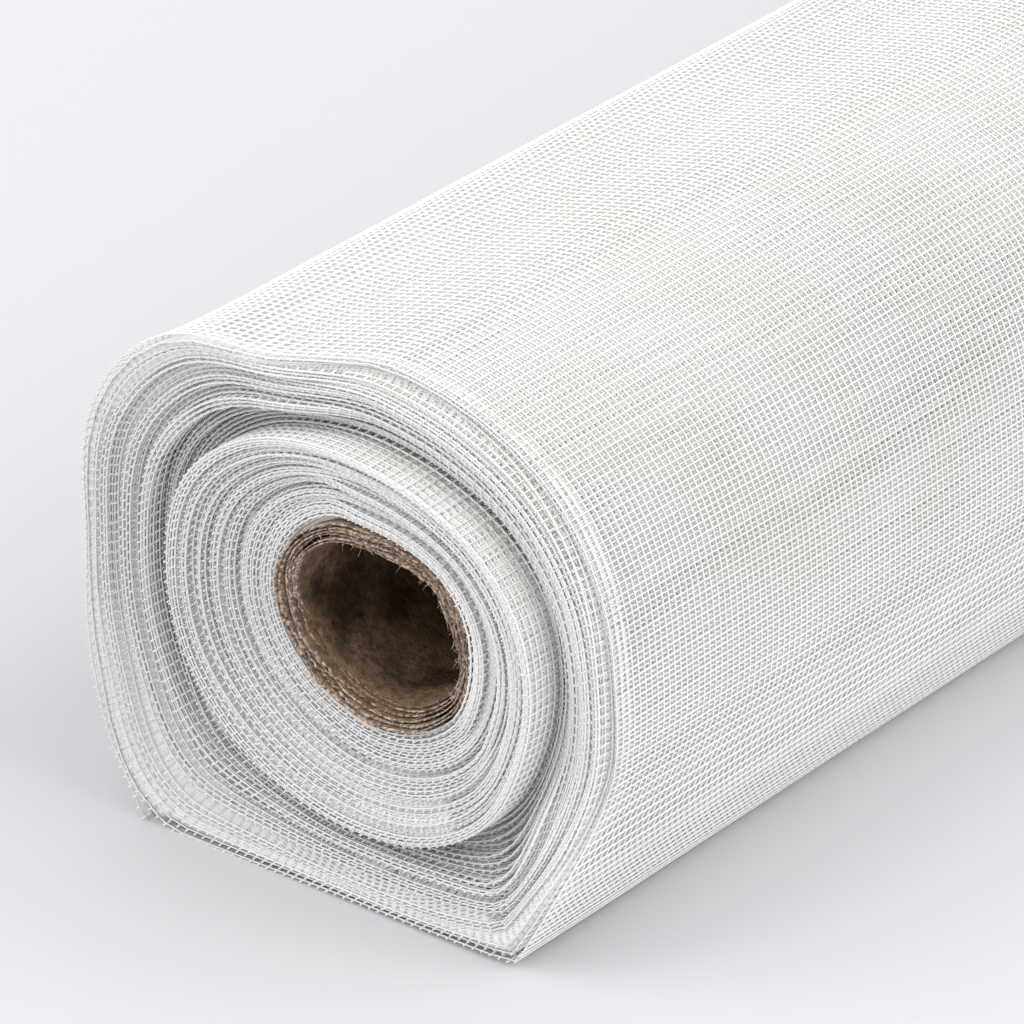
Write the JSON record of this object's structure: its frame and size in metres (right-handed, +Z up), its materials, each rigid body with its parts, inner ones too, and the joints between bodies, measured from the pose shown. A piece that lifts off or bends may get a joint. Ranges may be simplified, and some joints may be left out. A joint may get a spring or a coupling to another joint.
{
  "type": "insect screen mesh roll",
  "caption": "Roll of white woven insect screen mesh on a brown cardboard core tube, lying on its side, with a sagged section and staggered turns at its ends.",
  "frame": {"origin": "middle of the footprint, on the floor", "axes": "+Y along the roll's axis, away from the end that faces the viewer; +Z up; +X across the roll"},
  "size_m": [0.0974, 0.6022, 0.0897],
  "materials": {
    "screen_mesh": "white coated yarn, woven open, slightly glossy threads",
    "cardboard": "raw brown paper board, wound in plies, stained dark inside"
  },
  "bodies": {
    "root": {"screen_mesh_roll": "screen_mesh", "cardboard_core_tube": "cardboard"}
  },
  "joints": []
}
